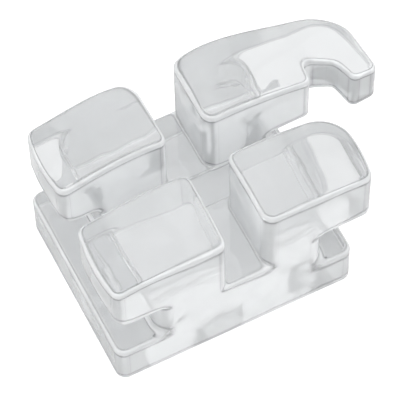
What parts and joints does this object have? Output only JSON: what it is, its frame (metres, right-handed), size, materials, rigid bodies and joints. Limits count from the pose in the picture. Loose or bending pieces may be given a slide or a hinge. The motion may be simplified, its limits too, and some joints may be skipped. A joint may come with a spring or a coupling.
{
  "type": "orthodontic bracket",
  "caption": "Clear one-piece twin orthodontic bracket with a flat bonding base, tie wings, an open archwire slot and a hook on one wing.",
  "frame": {"origin": "centre of the flat bonded face of the base", "axes": "+Z away from the tooth, +Y along the archwire slot, +X across the slot towards the hooked wing"},
  "size_m": [0.0047, 0.0028, 0.0026],
  "materials": {
    "clear": "polished, slightly milky"
  },
  "bodies": {
    "root": {"bracket": "clear"}
  },
  "joints": []
}
